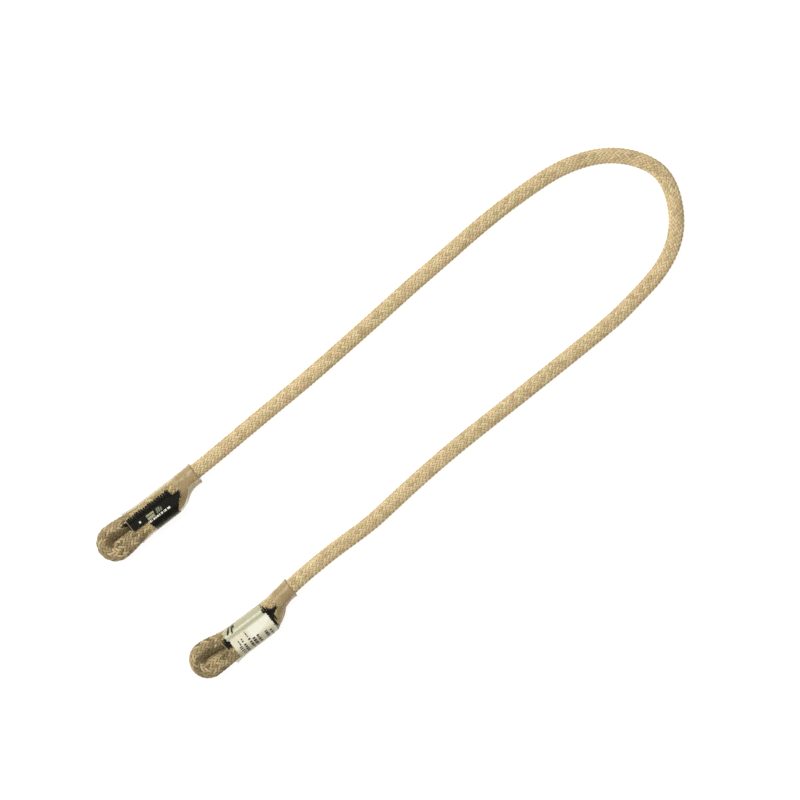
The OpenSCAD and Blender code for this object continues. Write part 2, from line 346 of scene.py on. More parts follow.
@dataclass(frozen=True)
class ShrinkFilmFinish(Finish):
    """Clear heat-shrunk tube: thin and glossy, milky at its silhouette, its cut edges and
    where it has shrunk most, past the tail; at the cut edges its skin is a dark tan, as painted
    shade."""

    end: "SewnEnd"  # its frame places the milky part
    name: str = "clear-shrink-film"
    clear: str = "#fdfdfb"
    square_on: float = 0.003  # share of light that a wall scatters, seen square on
    shrunk: float = 0.34
    cut_edge: float = 0.5
    silhouette: float = 0.8
    body: str = "#cfc19a"
    shrunk_body: str = "#c3aa7c"
    # Painted shade: a dark tan line along both cut edges.
    edge_shade: str = "#8c7850"
    edge_mm: float = 0.5
    wrinkle_mm: float = 3.0

    def stops(self, edge: str | float, body: str | float, shrunk: str | float) -> Stops:
        """The stops of a ramp along the sleeve, from its eye edge to its mouth."""
        rim = self.edge_mm / self.end.sleeve_len
        past = self.end.milky_from / self.end.sleeve_len
        places = (0.0, rim, past, past + 0.07, 1 - rim, 1.0)
        return tuple(zip(places, (edge, body, body, shrunk, shrunk, edge)))

    def shader(self, tree: NodeTree) -> Socket:
        """Adds the film's nodes: mostly clear, with a glossy skin."""
        place = add_node(tree, "TexCoord", out="Object")
        scale = {"Scale": 1000 / self.wrinkle_mm, "Detail": 2.0, "Distortion": 0.8}
        wrinkles = add_node(tree, "TexNoise", {**scale, "Vector": place})
        height = {"Strength": 0.35, "Distance": 0.0004, "Height": wrinkles}
        bump = add_node(tree, "Bump", height)
        whole = (0.0, self.end.sleeve_len)
        along = share_along(tree, self.end, (1.0, 0.0), whole, "LINEAR")
        veils = self.stops(self.cut_edge, self.square_on, self.shrunk)
        veil = add_node(tree, "ValToRGB", {"Fac": along}, stops=veils)
        bodies = self.stops(self.edge_shade, self.body, self.shrunk_body)
        colour = add_node(tree, "ValToRGB", {"Fac": along}, stops=bodies)
        facing = add_node(tree, "LayerWeight", {"Blend": 0.5}, "Facing")
        steep = add_node(tree, "Math", {0: facing, 1: 2.6}, operation="POWER")
        milky = {"Value": steep, "To Min": veil, "To Max": self.silhouette}
        share = add_node(tree, "MapRange", milky)
        window = add_node(tree, "BsdfTransparent", {"Color": linear(self.clear)})
        gloss = {"Roughness": 0.34, "IOR": 1.5, "Specular IOR Level": 0.5}
        skin = add_node(tree, "BsdfPrincipled", {**gloss, "Base Color": colour, "Normal": bump})
        mixed = {0: share, 1: window, 2: skin}
        return add_node(tree, "MixShader", mixed)


@dataclass(frozen=True)
class FloorFinish(Finish):
    """Matte white acrylic over a lit table, so that shadows on it almost vanish."""

    name: str = "lit-white-acrylic"
    colour: str = "#8c8c8b"
    glow: float = 0.88
    grain_mm: float = 2.5

    def shader(self, tree: NodeTree) -> Socket:
        """Adds the acrylic's nodes, with a grain too faint to see at this distance."""
        place = add_node(tree, "TexCoord", out="Object")
        noise = {"Scale": 1000 / self.grain_mm, "Detail": 2.0, "Vector": place}
        grain = add_node(tree, "TexNoise", noise)
        height = {"Strength": 0.03, "Distance": 0.0002, "Height": grain}
        skin = {
            "Normal": add_node(tree, "Bump", height),
            "Base Color": linear(self.colour),
            "Roughness": 0.9,
            "Specular IOR Level": 0.2,
            "Emission Color": linear("#ffffff"),
            "Emission Strength": self.glow,
        }
        return add_node(tree, "BsdfPrincipled", skin)


class Finishes:
    """Every material of the cord that does not depend on one sewn end, made once each."""

    def __init__(self) -> None:
        """Builds the materials."""
        self.braid = BraidFinish().material()
        # Yarn between the floats of the braid: the same tan, drawn dark as painted shade for its
        # depth.
        self.inner = MottledFinish(
            "braid-inner-yarn-shade", ((0.35, "#5c4c30"), (0.65, "#7d6a46")), 20 / 13, 0.9,
            detail=2.0, bump=None,
        ).material()
        # Hot-cut rope: yarns fused to a hard tan skin, satin, with drag marks.
        self.melted = MottledFinish(
            "hot-cut-rope-end", ((0.25, "#846736"), (0.5, "#a8894c"), (0.8, "#c8a968")),
            10 / 9, 0.45, detail=4.0, harshness=0.65, bump=(0.5, 0.0002), drag=3.5,
        ).material()
        self.thread = ThreadFinish().material()
        # Printed polyester film: an even ink coat, satin, faintly mottled and creased.
        self.black = self.ink("black-printed-film", "#080906", "#131410", 0.42, 2.5, 0.12)
        self.pale_ink = self.ink("pale-print-ink", "#ddd8c2", "#efebdc")
        self.grey_ink = self.ink("grey-print-ink", "#8f9173", "#aaac88")
        self.faint_ink = self.ink("faint-print-ink", "#686c54", "#878b6e")
        self.dark_ink = self.ink("dark-print-ink", "#2b2b2a", "#4c4b43", 0.45)

    @staticmethod
    def ink(
        name: str,
        low: str,
        high: str,
        roughness: float = 0.5,
        spot_mm: float = 0.8,
        specular: float = 0.4,
    ) -> Material:
        """The material of one print ink, between two colours."""
        stops = ((0.3, low), (0.7, high))
        finish = MottledFinish(name, stops, spot_mm, roughness, specular, harshness=0.55)
        return finish.material()


# --------------------------------------------------------- the rope's centreline


def spline(points: Array, start: Array, end: Array, step: float) -> tuple[Array, Array]:
    """A smooth curve through points, with its directions given at both ends.

    Args:
        points: The points that it passes, in order.
        start: Direction at the first point.
        end: Direction at the last point.
        step: Distance between the samples.

    Returns:
        The samples, and each sample's place, counted in points.
    """
    chord = np.linalg.norm(np.diff(points, axis=0), axis=1)
    count = len(points)
    slope = np.diff(points, axis=0) / chord[:, None]
    system, right = np.eye(count), np.zeros((count, 3))
    right[0], right[-1] = start, end
    for i in range(1, count - 1):
        before, after = chord[i - 1], chord[i]
        system[i, i - 1 : i + 2] = after, 2 * (before + after), before
        right[i] = 3 * (after * slope[i - 1] + before * slope[i])
    tangent = np.linalg.solve(system, right)
    samples, places = [], []
    for i in range(count - 1):
        n = max(2, math.ceil(chord[i] / step))
        t = (np.arange(n) / n)[:, None]
        samples.append(
            (2 * t**3 - 3 * t**2 + 1) * points[i]
            + (t**3 - 2 * t**2 + t) * chord[i] * tangent[i]
            + (3 * t**2 - 2 * t**3) * points[i + 1]
            + (t**3 - t**2) * chord[i] * tangent[i + 1]
        )
        places.append(i + t[:, 0])
    samples.append(points[-1:])
    places.append(np.array([count - 1.0]))
    return np.concatenate(samples), np.concatenate(places)


@dataclass
class Centreline:
    """The middle of the rope from tail to tail, with its frame and section, in mm."""

    points: Array
    halves: Array
    at: Array = field(init=False)
    tangents: Array = field(init=False)

    def __post_init__(self) -> None:
        """Measures the line."""
        step = np.linalg.norm(np.diff(self.points, axis=0), axis=1)
        self.at = np.concatenate([[0.0], np.cumsum(step)])
        slopes = [np.gradient(column, self.at) for column in self.points.T]
        self.tangents = unit(np.stack(slopes, 1))

    def sample(self, s: Array) -> tuple[Array, ...]:
        """The line at some lengths.

        Args:
            s: Lengths along it, in mm, in any shape.

        Returns:
            Point, direction, side, up, and half width and height, each with a last axis.
        """
        point = read_columns(s, self.at, self.points)
        ahead = unit(read_columns(s, self.at, self.tangents))
        side = unit(np.cross(np.array([0.0, 0.0, 1.0]), ahead))
        return point, ahead, side, np.cross(ahead, side), read_columns(s, self.at, self.halves)


@dataclass
class SewnEnd:
    """The folded-back, stitched end of the rope, in a frame of its own.

    x is 0 at the sleeve's eye edge and runs towards the free rope, y runs towards the
    standing leg, and z is 0 on the middle of the legs.
    """

    side: Side
    mouth: Pair
    yaw_deg: float
    sleeve_len: float
    mouth_lean: float  # the free rope leans away from the tail in the sleeve's mouth
    eye_lean: float
    film_room: float  # from the standing leg's middle to that of the closed film's tail half
    pair: float = 7.3
    sewn_half: Pair = (4.0, 4.1)
    eye_half: Pair = (4.6, 4.1)  # of the standing limb
    tail_eye_half: Pair = (5.3, 4.1)
    tip_half: Pair = (3.8, 4.0)
    free_half: Pair = (4.0, 4.0)
    eye_r: float = 4.65  # the soft eye lies pressed shut at rest
    eye_x: float = 11.0
    eye_lead: float = 8.0  # the legs start to part this far inside the sleeve
    lean_start: float = 26.0
    lean_past: float = 6.0
    tail_tip: float = 36.0
    tail_shift: float = 1.5  # the film presses the tail's tip onto the standing leg
    tail_lift: float = 0.45
    tail_from: float = 20.0
    tail_run: float = 12.0  # length over which the tail is drawn in
    pair_z: float = 5.15
    milky_from: float = 29.8  # x past which the film has shrunk most
    cut_at: Triple = (29.3, -3.0, 0.3)
    cut_facing: Triple = (0.64, -0.64, 0.42)

    def matrix(self) -> Matrix:
        """The end's place in the row frame, in metres."""
        turn = Matrix.Rotation(math.radians(self.yaw_deg), 4, "Z")
        mouth = (self.mouth[0] * MM, self.mouth[1] * MM, self.pair_z * MM)
        back = (-self.sleeve_len * MM, -self.standing_y(self.sleeve_len) * MM, 0.0)
        return Matrix.Translation(Vector(mouth)) @ turn @ Matrix.Translation(Vector(back))

    def to_row(self, points: Array) -> Array:
        """Points of the end's frame, in mm, in the row frame, in mm."""
        m = np.array(self.matrix())
        return points @ m[:3, :3].T + m[:3, 3] / MM

    def turn_to_row(self, direction: Triple) -> Array:
        """A direction of the end's frame in the row frame."""
        return unit(np.array(self.matrix())[:3, :3] @ np.array(direction))

    def heading(self) -> Array:
        """The direction in which the rope leaves the end."""
        span = self.sleeve_len + self.lean_past - self.lean_start
        t = 1 - self.lean_past / span
        slope = 6 * t * (1 - t) * self.mouth_lean / span
        angle = math.radians(self.yaw_deg) + math.atan(slope)
        return np.array([math.cos(angle), math.sin(angle), 0.0])

    def standing_y(self, x: Array | float) -> Array | float:
        """Middle of the standing leg, which leans away from the tail near the mouth."""
        span = self.sleeve_len + self.lean_past - self.lean_start
        return self.pair / 2 + self.mouth_lean * smooth((x - self.lean_start) / span)

    def leg_half(self, x: Array) -> Array:
        """Half width and height of the standing leg, which rounds out near the mouth."""
        share = smooth((x - self.lean_start) / (self.sleeve_len - self.lean_start))
        sewn, free = np.array(self.sewn_half), np.array(self.free_half)
        return sewn + (free - sewn) * share[..., None]

    def tail_drawn(self, x: Array) -> Array:
        """How far the tail leg is drawn in under the film at x, from 0 to 1."""
        return smooth((x - self.tail_from) / self.tail_run)

    def tail_y(self, x: Array) -> Array:
        """Middle of the tail leg."""
        return -self.pair / 2 + self.tail_shift * self.tail_drawn(x)

    def line(self, step: float) -> tuple[Array, Array]:
        """The rope's middle from the sleeve's mouth, round the eye, to the tail.

        Args:
            step: Distance between points.

        Returns:
            Points in the end's frame and their half widths and heights.
        """
        sewn, eye = np.array(self.sewn_half), np.array(self.eye_half)
        tip, wide = np.array(self.tip_half), np.array(self.tail_eye_half)
        x_in = np.arange(self.sleeve_len, self.eye_lead, -step)
        reach = self.eye_x + self.eye_lead
        t = np.arange(0.0, 1.0, step / reach)
        share = smooth(t)
        spread = self.pair / 2 + (self.eye_r - self.pair / 2) * share
        middle = self.eye_lean + (wide[0] - eye[0]) / 2
        limb_x = self.eye_lead - reach * t
        angle = np.arange(0.0, math.pi, step / self.eye_r)
        around, across = self.eye_r * np.sin(angle), self.eye_r * np.cos(angle)
        x = np.arange(self.eye_lead + step, self.tail_tip, step)
        drawn = self.tail_drawn(x)
        points = [
            columns(x_in, self.standing_y(x_in)),
            columns(limb_x, spread + middle * share),
            columns(-self.eye_x - around, middle + across),
            columns(limb_x, middle * share - spread)[::-1],
            columns(x, self.tail_y(x), self.tail_lift * drawn),
        ]
        share = share[:, None]
        halves = [
            self.leg_half(x_in),
            sewn + (eye - sewn) * share,
            eye + (wide - eye) * smooth(angle / math.pi)[:, None],
            (sewn + (wide - sewn) * share)[::-1],
            sewn + (tip - sewn) * drawn[:, None],
        ]
        return np.concatenate(points), np.concatenate(halves)


@dataclass
class Route:
    """Where the rope's middle runs between the two sleeves, as points in mm."""

    neck_a: tuple[Pair, ...] = ((-106.9, 38.9), (-99, 38.7), (-91, 38.6), (-83, 38.6))
    leg_a: tuple[Pair, ...] = (
        (-60, 38.5), (-36, 38.3), (-12, 38.7), (11, 39.3), (34, 40.1), (58, 40.5),
        (81, 40.9), (104, 40.1), (116, 39.1), (127, 37.6), (138, 34.5), (148, 29.9), (157, 23),
    )
    bend: tuple[Pair, ...] = ((164, 13.8), (167.5, 3), (165.4, -8.2), (161, -16.5), (155.8, -23))
    leg_b: tuple[Pair, ...] = (
        (148, -29), (139, -33), (129, -35.4), (118, -36.7), (107, -37.8), (95, -38.1),
        (72, -37.7), (49, -37.1), (26, -36.4), (3, -35.8), (-20, -35.9), (-44, -36.9),
        (-56, -37.3), (-68, -36.7), (-84, -35.8),
    )
    neck_b: tuple[Pair, ...] = ((-92, -35.7), (-100, -35.7), (-107.3, -36))
    free_half: Pair = (4.0, 4.0)
    pair_z: float = 5.15
    apex: int = 18  # the bend's second point, where the two legs' pieces meet

    def line(self, start: Array, end: Array, step: float) -> tuple[Array, Array, list[int]]:
        """The free rope's middle.

        Args:
            start: Direction out of sleeve A.
            end: Direction into sleeve B.
            step: Distance between points.

        Returns:
            Points, half widths and heights, and where neck A ends, the legs meet at the
            apex and neck B starts.
        """
        plan = np.array(self.neck_a + self.leg_a + self.bend + self.leg_b + self.neck_b, float)
        last = len(plan) - 1
        neck_a, neck_b = len(self.neck_a) - 1, last - len(self.neck_b)
        index = np.arange(last + 1)
        sewn = smooth(np.maximum(1 - index / neck_a, (index - neck_b) / (last - neck_b)))
        free_z = self.free_half[1]
        height = free_z + (self.pair_z - free_z) * sewn
        points, place = spline(np.column_stack([plan, height]), start, end, step)
        marks = [int(np.searchsorted(place, m - 1e-9)) for m in (neck_a, self.apex, neck_b)]
        return points, np.tile(self.free_half, (len(points), 1)), marks


# ------------------------------------------------------------------ the braid


@dataclass
class Tube:
    """Vertices, quads and maps of a set of tubes, ready to become one mesh."""

    vertices: Array
    quads: Array
    yarn_uv: Array
    bake_uv: Array
    tones: Array
    slot: int = 0


def oval_rings(middle: Array, side: Array, up: Array, half: Any, corners: int) -> Array:
    """Rings of points round a line.

    Args:
        middle: The line's points.
        side: Direction of each ring's width.
        up: Direction of each ring's height.
        half: Half width and half height, each one number or one for each ring.
        corners: Points in a ring.

    Returns:
        The points, with one more axis than middle.
    """
    turn = 2 * np.pi * np.arange(corners) / corners
    wide, tall = (np.asarray(size)[..., None, None] for size in half)
    return (
        middle[..., None, :]
        + side[..., None, :] * wide * np.cos(turn)[:, None]
        + up[..., None, :] * tall * np.sin(turn)[:, None]
    )


def face_corners(a0: Any, a1: Any, b0: Any, b1: Any) -> Array:
    """Map corners of faces that lie from a0 to a1 one way and b0 to b1 the other."""
    corners = ((a0, b0), (a0, b1), (a1, b1), (a1, b0))
    return np.stack([np.stack(np.broadcast_arrays(a, b), -1) for a, b in corners], -2)


def strips(rings: Array, tones: Array, offset: Array) -> Tube:
    """Closes rows of rings into capped tubes, with a map in mm and a packed map.

    Args:
        rings: Tube, ring and corner points, in mm.
        tones: Tone of each ring.
        offset: How far each tube's map is moved along, so that no two look alike.

    Returns:
        The tubes.
    """
    tubes, count, width, _ = rings.shape
    steps = count - 1
    index = np.arange(tubes * count * width).reshape(tubes, count, width)
    after = np.roll(index, -1, axis=2)
    wall = np.stack([index[:, :-1], after[:, :-1], after[:, 1:], index[:, 1:]], -1)
    length = np.cumsum(np.linalg.norm(np.diff(rings.mean(2), axis=1), axis=-1), axis=1)
    length = np.concatenate([np.zeros((tubes, 1)), length], axis=1)
    around = np.linalg.norm(rings[:, :, 0] - rings[:, :, 1], axis=-1).mean() * width
    u = (length + offset[:, None])[:, :, None]
    k = np.arange(width) / width
    yarn = face_corners(u[:, :-1], u[:, 1:], k * around, (k + 1 / width) * around)

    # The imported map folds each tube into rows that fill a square.
    margin = 0.08
    folds = max(1, round(math.sqrt(length[:, -1].mean() / around / tubes)))
    fold = np.minimum(np.arange(steps) * folds // steps, folds - 1)
    first = np.searchsorted(fold, np.arange(folds))
    size = np.diff(np.append(first, steps)).max() + 1.5
    place = ((np.arange(steps) - first[fold]) / size)[:, None]
    rows = tubes * folds
    row = (np.arange(tubes)[:, None] * folds + fold)[:, :, None]
    tall = (1 - 2 * margin) / rows
    low = (row + margin) / rows + tall * k
    bake = face_corners(place, place + 1 / size, low, low + tall / width)

    caps, cap_yarn, cap_bake = [], [], []
    cap_long, cap_tall = 0.25, 0.3
    square = np.array([[0, 0], [0, 1], [1, 1], [1, 0]]) * (cap_long / size, cap_tall / rows)
    for ring, turned in ((0, True), (steps, False)):
        spot = np.full(tubes, (size - 1.0 + cap_tall * (ring > 0)) / size)
        base = (np.arange(tubes) * folds + cap_tall) / rows
        for a in range(1, width - 2, 2):
            quad = index[:, ring][:, [0, a, a + 1, a + 2]]
            caps.append(quad[:, ::-1] if turned else quad)
            cap_yarn.append(np.tile(u[:, ring, None], (1, 4, 2)))
            cap_bake.append(np.stack([spot, base], -1)[:, None, :] + square)
    return Tube(
        rings.reshape(-1, 3),
        np.concatenate([wall.reshape(-1, 4), *caps]),
        np.concatenate([yarn.reshape(-1, 4, 2), *cap_yarn]),
        np.concatenate([bake.reshape(-1, 4, 2), *cap_bake]),
        np.repeat(tones.reshape(-1), width),
    )


def joined_mesh(name: str, tubes: list[Tube], shares: tuple[float, ...]) -> Object:
    """Makes one smooth mesh object from tubes.

    Args:
        name: The piece's name.
        tubes: The tubes, each with its material slot.
        shares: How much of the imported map's height each tube gets.

    Returns:
        The object, at the origin.
    """
    starts = np.cumsum([0] + [len(tube.vertices) for tube in tubes])
    lows = np.cumsum([0.0, *shares])
    vertices = np.concatenate([tube.vertices for tube in tubes]) * MM
    quads = np.concatenate([tube.quads + start for tube, start in zip(tubes, starts)])
    yarn = [tube.yarn_uv for tube in tubes]
    bake = [t.bake_uv * (1.0, share) + (0.0, low) for t, share, low in zip(tubes, shares, lows)]
    slots = np.concatenate([np.full(len(tube.quads), tube.slot) for tube in tubes])
    mesh = bpy.data.meshes.new(name)
    mesh.from_pydata(vertices.tolist(), [], quads.tolist())
    for layer, values in ((YARN_MAP, yarn), (BAKE_MAP, bake)):
        uv = np.concatenate(values).astype(np.float32).ravel()
        mesh.uv_layers.new(name=layer).data.foreach_set("uv", uv)
    tone = mesh.attributes.new(TONE, "FLOAT", "POINT")
    tones = np.concatenate([tube.tones for tube in tubes])
    tone.data.foreach_set("value", tones.astype(np.float32))
    mesh.polygons.foreach_set("material_index", slots.astype(np.int32))
    mesh.polygons.foreach_set("use_smooth", np.ones(len(mesh.polygons), bool))
    mesh.update()
    made = bpy.data.objects.new(name, mesh)
    bpy.context.scene.collection.objects.link(made)
    return made


@dataclass
class Braid:
    """A 32-carrier sheath, each yarn over two and under two, in mm."""

    carriers: int = 16  # in each direction
    lap: float = 35.9  # length in which a carrier goes once round, for a 35 degree braid
    radius: float = 3.47  # of the yarns' middles, in a rope of half width 4
    wave: float = 0.27
    width: float = 1.26
    thickness: float = 0.54
    corners: int = 6
    step: float = 0.6
    inner_radius: float = 3.18
    inner_corners: int = 20
    inner_step: float = 1.5
    nominal: float = 4.0
    nudge: float = 0.05  # a short way along, to find each yarn's direction
    map_scatter: float = 40.0  # how far the yarns' maps are moved apart
    inner_tone: float = 0.2
    leg_tone: Pair = (0.62, 0.17)  # level and spread
    end_tone: Pair = (0.28, 0.25)

    def yarns(self, line: Centreline, s: Array) -> tuple[Array, ...]:
        """Middles of all the yarns.

        Args:
            line: The rope's middle.
            s: Lengths along it, per yarn, as an array of yarn and place.

        Returns:
            Yarn middles, outward directions, tones, and each place's turn angle.
        """
        count = 2 * self.carriers
        both = np.arange(count)
        sign = np.where(both < self.carriers, 1.0, -1.0)[:, None]
        number = (both % self.carriers)[:, None]
        beat = 2 * number + sign * count * s / self.lap
        angle = 2 * np.pi * (number / self.carriers + sign * s / self.lap)
        lift = sign * self.wave * np.cos(np.pi / 2 * (beat - 0.5))
        floats = np.floor(np.where(sign > 0, beat - 2.5, beat - 0.5) / 4)
        tone = hashed(both[:, None], floats)
        point, _, side, up, half = line.sample(s)
        wide, tall = (half[..., k] - self.nominal + self.radius + lift for k in (0, 1))
        cos, sin = np.cos(angle), np.sin(angle)
        middle = point + side * (wide * cos)[..., None] + up * (tall * sin)[..., None]
        outward = unit(side * (tall * cos)[..., None] + up * (wide * sin)[..., None])
        return middle, outward, tone, angle

    def tubes(
        self,
        line: Centreline,
        start: Array,
        end: Array,
        end_darkening: Callable[[Array], Array],
        eye_shade: Callable[[Array, Array], Array],
    ) -> Tube:
        """All the yarns between two lengths.

        Args:
            line: The rope's middle.
            start: Where each yarn starts.
            end: Where each yarn ends.
            end_darkening: How much darker and more mottled the rope is drawn at a length.
            eye_shade: How much painted shade darkens a length and turn angle on an eye's inner
                side.

        Returns:
            The yarns.
        """
        count = max(3, round(float(np.mean(end - start)) / self.step) + 1)
        s = start[:, None] + (end - start)[:, None] * np.linspace(0.0, 1.0, count)
        middle, outward, tone, angle = self.yarns(line, s)
        ahead, behind = (self.yarns(line, s + way * self.nudge)[0] for way in (1, -1))
        along = unit(ahead - behind)
        across = unit(np.cross(along, outward))
        half = (self.width / 2, self.thickness / 2)
        rings = oval_rings(middle, across, np.cross(across, along), half, self.corners)
        offset = self.map_scatter * hashed(np.arange(2 * self.carriers), 5)
        # The yarns on each eye's inner side are drawn darker: painted shade in the loop's recess.
        return strips(rings, self.tones(tone, end_darkening(s)) * (1 - eye_shade(s, angle)), offset)

    def tones(self, value: Array, end_darkening: Array) -> Array:
        """Spreads the hashed values, so that most floats are tan and few dark or cream.

        Args:
            value: A scattered value from 0 to 1 for each place.
            end_darkening: How much darker and more mottled the rope is drawn there, from 0 on the
                legs to 1 at the eyes.

        Returns:
            The tones.
        """
        (leg_level, even), (end_level, uneven) = self.leg_tone, self.end_tone
        spread = np.sign(value - 0.5) * np.abs(2 * value - 1) ** 1.4
        return leg_level + (end_level - leg_level) * end_darkening + spread * (even + (uneven - even) * end_darkening)

    def inner(self, line: Centreline, start: float, end: float) -> Tube:
        """The tube under the yarns, between two lengths, coloured dark as painted shade between
        the floats.
        """
        count = max(3, round((end - start) / self.inner_step) + 1)
        point, _, side, up, half = line.sample(np.linspace(start, end, count))
        half = (half - self.nominal + self.inner_radius).T
        rings = oval_rings(point, side, up, half, self.inner_corners)
        made = strips(rings[None], np.full((1, count), self.inner_tone), np.zeros(1))
        made.slot = 1
        return made


@dataclass
class Rope:
    """The one rope from tail to tail, cut into pieces where the model flexes."""

    finishes: Finishes
    end_a: SewnEnd
    end_b: SewnEnd
    route: Route = field(default_factory=Route)
    braid: Braid = field(default_factory=Braid)
    step: float = 0.25
    cut_between: Pair = (22.0, 0.3)  # lengths from a tail's tip that its cut lies between
    inner_from: float = 11.0  # where the dark inner tube starts, short of the cut
    cut_depth: float = 0.35  # the yarns stop this far inside the cut
    # The rope is drawn darker and more mottled at the eyes, less along the sewn pairs, and not on
    # the legs.
    end_darkening_at: tuple[float, ...] = (28.0, 36.0, 76.0, 84.0)  # before, on and after an eye
    end_darkening_fade: float = 4.0  # it fades from this far inside the mouth to this far past it
    end_darkening_levels: tuple[float, ...] = (0.45, 1.0, 1.0, 0.45, 0.35, 0.0)
    # Painted shade on the inner side of each eye: lengths round an eye, and how far inward a place
    # there faces to be drawn dark as shade.
    eye_shade_at: tuple[float, ...] = (34.0, 38.0, 46.0, 52.0, 56.0, 64.0, 72.0, 78.0)
    eye_shade_from: tuple[float, ...] = (1.6, 0.86, 0.75, 0.2, -0.1, -0.1, 0.2, 1.6)
    eye_shade_edge: float = 0.4
    eye_shade_depth: float = 0.93
    cut_samples: int = 160
    map_shares: Pair = (0.94, 0.06)  # of the yarns and of the inner tube
    line: Centreline = field(init=False)
    marks: dict[str, float] = field(init=False)

    def __post_init__(self) -> None:
        """Lays the whole line and notes the lengths at which its pieces meet."""
        near, near_half = self.end_a.line(self.step)
        far, far_half = self.end_b.line(self.step)
        near = self.end_a.to_row(near)[1:][::-1]
        far = self.end_b.to_row(far)[1:]
        heading_a, heading_b = self.end_a.heading(), self.end_b.heading()
        free, free_half, marks = self.route.line(heading_a, -heading_b, self.step)
        halves = np.concatenate([near_half[1:][::-1], free_half, far_half[1:]])
        self.line = Centreline(np.concatenate([near, free, far]), halves)
        names = ("mouth_a", "neck_a", "apex", "neck_b", "mouth_b")
        places = [len(near) + place for place in (0, *marks, len(free) - 1)]
        self.marks = {name: float(self.line.at[i]) for name, i in zip(names, places)}
        self.marks["end"] = float(self.line.at[-1])

    def from_tip(self, s: Array) -> tuple[Array, Array]:
        """Lengths from the nearer tail's tip, and whether that is tail A's."""
        near_a = s < (self.marks["mouth_a"] + self.marks["mouth_b"]) / 2
        return np.where(near_a, s, self.marks["end"] - s), near_a

    def end_darkening(self, s: Array) -> Array:
        """How much darker and more mottled the rope is drawn: the eyes most, the sewn pairs less,
        the legs not at all.
        """
        mouth = self.marks["mouth_a"]
        places = (*self.end_darkening_at, mouth - self.end_darkening_fade, mouth + self.end_darkening_fade)
        return np.interp(self.from_tip(s)[0], places, self.end_darkening_levels)

    def eye_shade(self, s: Array, angle: Array) -> Array:
        """How much painted shade darkens a place: the inner side of an eye's loop, where it curls
        down into the recess.

        Args:
            s: Lengths along the rope.
            angle: Each place's turn round the rope, from its left side.

        Returns:
            0 for the open sides, and nearly 1 on the inner side, drawn darkest as painted shade.
        """
        inward, near_a = self.from_tip(s)
        facing = np.where(near_a, -1.0, 1.0) * np.cos(angle)
        from_side = np.interp(inward, self.eye_shade_at, self.eye_shade_from)
        return self.eye_shade_depth * smooth((facing - from_side) / self.eye_shade_edge)

    def cut_lengths(self, end: SewnEnd, low: float, high: float) -> Array:
        """Where each yarn meets the tail's slanted cut.

        Args:
            end: The sewn end.
            low: Length where every yarn is still inside.
            high: Length where every yarn is past the cut.

        Returns:
            One length for each yarn.
        """
        s = np.linspace(low, high, self.cut_samples)
        middle = self.braid.yarns(self.line, np.tile(s, (2 * self.braid.carriers, 1)))[0]
        past = (middle - end.to_row(np.array([end.cut_at]))[0]) @ end.turn_to_row(end.cut_facing)
        return np.array([np.interp(-self.cut_depth, row, s) for row in past])

    def piece(
        self, name: str, start: Array | float, end: Array | float, inner: Pair | None = None,
    ) -> Object:
        """One stretch of rope with its yarns and the dark tube under them.

        Args:
            name: The piece's name.
            start: Where the yarns start, one length for all or one for each.
            end: Where they end.
            inner: Where the dark tube starts and ends, if that is elsewhere.

        Returns:
            The piece, dressed.
        """
        start_each, end_each = (np.full(2 * self.braid.carriers, s) for s in (start, end))
        yarns = self.braid.tubes(self.line, start_each, end_each, self.end_darkening, self.eye_shade)
        under = self.braid.inner(self.line, *(inner or (start, end)))
        made = joined_mesh(name, [yarns, under], self.map_shares)
        made.data.materials.append(self.finishes.braid)
        made.data.materials.append(self.finishes.inner)
        return made

    def build(self) -> None:
        m = self.marks
        inside, past = self.cut_between
        cut_a = self.cut_lengths(self.end_a, inside, past)
        cut_b = self.cut_lengths(self.end_b, m["end"] - inside, m["end"] - past)
        under = (self.inner_from, m["mouth_a"])
        end_a = self.piece("rope_end_a", cut_a, m["mouth_a"], under)
        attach(end_a, "end_a")
        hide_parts("eye_a_sheath")
        under = (m["mouth_b"], m["end"] - self.inner_from)
        end_b = self.piece("rope_end_b", m["mouth_b"], cut_b, under)
        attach(end_b, "end_b")
        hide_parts("eye_b_sheath")

        neck_a = self.piece("rope_neck_a", m["mouth_a"], m["neck_a"])
        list(self.path(m["mouth_a"], m["neck_a"], 2))
        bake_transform(neck_a)
        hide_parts("neck_a_sheath", "neck_a_core")
        neck_b = self.piece("rope_neck_b", m["neck_b"], m["mouth_b"])
        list(self.path(m["neck_b"], m["mouth_b"], 2))
        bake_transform(neck_b)
        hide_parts("neck_b_sheath", "neck_b_core")

        leg_a = self.piece("rope_leg_a", m["neck_a"], m["apex"])
        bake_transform(leg_a)
        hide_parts("leg_a_sheath", "leg_a_core", "bend_sheath", "bend_core")
        leg_b = self.piece("rope_leg_b", m["apex"], m["neck_b"])
        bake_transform(leg_b)
        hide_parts("leg_b_sheath", "leg_b_core")
        for leg, neck in ((leg_a, m["neck_a"]), (leg_b, m["neck_b"])):
            length = abs(m["apex"] - neck)
            path = self.path(neck, m["apex"], max(2, round(length / 4.0)))
        for made in (end_a, end_b, neck_a, neck_b, leg_a, leg_b):
            report(made)

    def path(self, start: float, end: float, count: int) -> list[Triple]:
        """Points of the middle between two lengths, in metres."""
        return [tuple(p * MM) for p in self.line.sample(np.linspace(start, end, count))[0]]


def report(piece: Object) -> None:
    """Logs one finished piece."""
    piece.data.calc_loop_triangles()
    LOG.info("%s: %d triangles", piece.name, len(piece.data.loop_triangles))


# ------------------------------------------------------------- bpy.ops helpers


def deselect() -> None:
    """Leaves edit mode and deselects every object."""
    if bpy.context.object and bpy.context.object.mode != "OBJECT":
        bpy.ops.object.mode_set(mode="OBJECT")
    bpy.ops.object.select_all(action="DESELECT")


